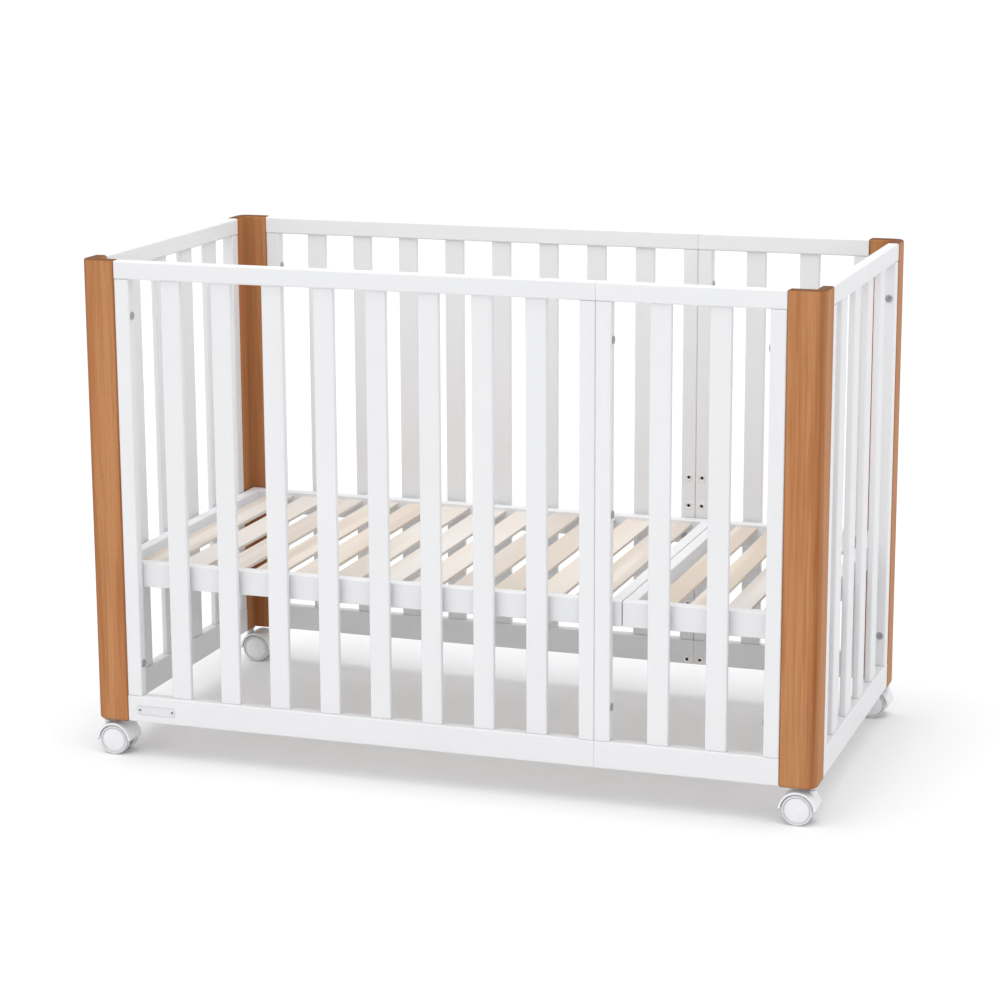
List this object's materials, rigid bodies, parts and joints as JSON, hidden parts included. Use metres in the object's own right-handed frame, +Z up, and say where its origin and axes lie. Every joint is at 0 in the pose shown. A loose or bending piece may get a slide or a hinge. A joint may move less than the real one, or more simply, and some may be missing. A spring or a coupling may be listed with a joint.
{
  "type": "baby crib",
  "caption": "Wooden baby crib with white slatted sides and ends, stained L-section corner posts, a slatted mattress base and swivelling twin-wheel casters.",
  "frame": {"origin": "on the floor, under the middle of the crib", "axes": "+X along the long side towards the short removable section, +Y across the crib from the side with the nameplate to the other side, +Z up"},
  "size_m": [1.244, 0.648, 0.847],
  "materials": {
    "stained_beech": "satin orange-brown stain and lacquer",
    "white_paint": "satin white paint on wood",
    "pale_pine": "bare sanded pine",
    "bolt_steel": "zinc-plated",
    "insert_steel": "zinc-plated",
    "insert_zinc": "zinc-plated",
    "plate_metal": "brushed, blank",
    "rivet_metal": "dark, domed",
    "stem_steel": "turned",
    "socket_steel": "pressed, zinc-plated",
    "caster_plastic": "white, semi-gloss",
    "wheel_plastic": "pale grey tread, white cap",
    "axle_steel": "ground"
  },
  "bodies": {
    "crib": {"post_front_left": "stained_beech", "post_front_right": "stained_beech", "post_back_left": "stained_beech", "post_back_right": "stained_beech", "front_left_top_rail": "white_paint", "front_left_bottom_rail": "white_paint", "front_left_stiles": "white_paint", "front_left_slats": "white_paint", "front_right_top_rail": "white_paint", "front_right_bottom_rail": "white_paint", "front_right_stiles": "white_paint", "front_right_slats": "white_paint", "back_left_top_rail": "white_paint", "back_left_bottom_rail": "white_paint", "back_left_stiles": "white_paint", "back_left_slats": "white_paint", "back_right_top_rail": "white_paint", "back_right_bottom_rail": "white_paint", "back_right_stiles": "white_paint", "back_right_slats": "white_paint", "left_end_top_rail": "white_paint", "left_end_bottom_rail": "white_paint", "left_end_stiles": "white_paint", "left_end_slats": "white_paint", "right_end_top_rail": "white_paint", "right_end_bottom_rail": "white_paint", "right_end_stiles": "white_paint", "right_end_slats": "white_paint", "base_left_side_rails": "white_paint", "base_left_end_rails": "white_paint", "base_left_slats": "pale_pine", "base_right_side_rails": "white_paint", "base_right_end_rails": "white_paint", "base_right_slats": "pale_pine", "panel_bolts": "bolt_steel", "section_bolts": "bolt_steel", "base_bolts": "bolt_steel", "sunk_inserts": "insert_steel", "flanged_inserts": "insert_zinc", "nameplate": "plate_metal", "nameplate_rivets": "rivet_metal", "caster_stems": "stem_steel", "caster_sockets": "socket_steel"},
    "caster_front_left": {"caster_front_left_hood": "caster_plastic", "caster_front_left_axle": "axle_steel"},
    "caster_front_left_outer_wheel": {"caster_front_left_wheel_outer": "wheel_plastic"},
    "caster_front_left_inner_wheel": {"caster_front_left_wheel_inner": "wheel_plastic"},
    "caster_front_right": {"caster_front_right_hood": "caster_plastic", "caster_front_right_axle": "axle_steel"},
    "caster_front_right_outer_wheel": {"caster_front_right_wheel_outer": "wheel_plastic"},
    "caster_front_right_inner_wheel": {"caster_front_right_wheel_inner": "wheel_plastic"},
    "caster_back_left": {"caster_back_left_hood": "caster_plastic", "caster_back_left_axle": "axle_steel"},
    "caster_back_left_outer_wheel": {"caster_back_left_wheel_outer": "wheel_plastic"},
    "caster_back_left_inner_wheel": {"caster_back_left_wheel_inner": "wheel_plastic"},
    "caster_back_right": {"caster_back_right_hood": "caster_plastic", "caster_back_right_axle": "axle_steel"},
    "caster_back_right_outer_wheel": {"caster_back_right_wheel_outer": "wheel_plastic"},
    "caster_back_right_inner_wheel": {"caster_back_right_wheel_inner": "wheel_plastic"}
  },
  "joints": [
    {"name": "front_left_swivel", "type": "hinge", "parent": "crib", "child": "caster_front_left", "pos_m": [-0.612, -0.3, 0.057], "axis": [0, 0, 1], "continuous": true},
    {"name": "front_left_outer_spin", "type": "hinge", "parent": "caster_front_left", "child": "caster_front_left_outer_wheel", "pos_m": [-0.592, -0.316, 0.025], "axis": [0, 1, 0], "continuous": true},
    {"name": "front_left_inner_spin", "type": "hinge", "parent": "caster_front_left", "child": "caster_front_left_inner_wheel", "pos_m": [-0.592, -0.284, 0.025], "axis": [0, 1, 0], "continuous": true},
    {"name": "front_right_swivel", "type": "hinge", "parent": "crib", "child": "caster_front_right", "pos_m": [0.612, -0.3, 0.057], "axis": [0, 0, 1], "continuous": true},
    {"name": "front_right_outer_spin", "type": "hinge", "parent": "caster_front_right", "child": "caster_front_right_outer_wheel", "pos_m": [0.592, -0.316, 0.025], "axis": [0, 1, 0], "continuous": true},
    {"name": "front_right_inner_spin", "type": "hinge", "parent": "caster_front_right", "child": "caster_front_right_inner_wheel", "pos_m": [0.592, -0.284, 0.025], "axis": [0, 1, 0], "continuous": true},
    {"name": "back_left_swivel", "type": "hinge", "parent": "crib", "child": "caster_back_left", "pos_m": [-0.612, 0.3, 0.057], "axis": [0, 0, 1], "continuous": true},
    {"name": "back_left_outer_spin", "type": "hinge", "parent": "caster_back_left", "child": "caster_back_left_outer_wheel", "pos_m": [-0.592, 0.316, 0.025], "axis": [0, 1, 0], "continuous": true},
    {"name": "back_left_inner_spin", "type": "hinge", "parent": "caster_back_left", "child": "caster_back_left_inner_wheel", "pos_m": [-0.592, 0.284, 0.025], "axis": [0, 1, 0], "continuous": true},
    {"name": "back_right_swivel", "type": "hinge", "parent": "crib", "child": "caster_back_right", "pos_m": [0.612, 0.3, 0.057], "axis": [0, 0, 1], "continuous": true},
    {"name": "back_right_outer_spin", "type": "hinge", "parent": "caster_back_right", "child": "caster_back_right_outer_wheel", "pos_m": [0.592, 0.316, 0.025], "axis": [0, 1, 0], "continuous": true},
    {"name": "back_right_inner_spin", "type": "hinge", "parent": "caster_back_right", "child": "caster_back_right_inner_wheel", "pos_m": [0.592, 0.284, 0.025], "axis": [0, 1, 0], "continuous": true}
  ]
}
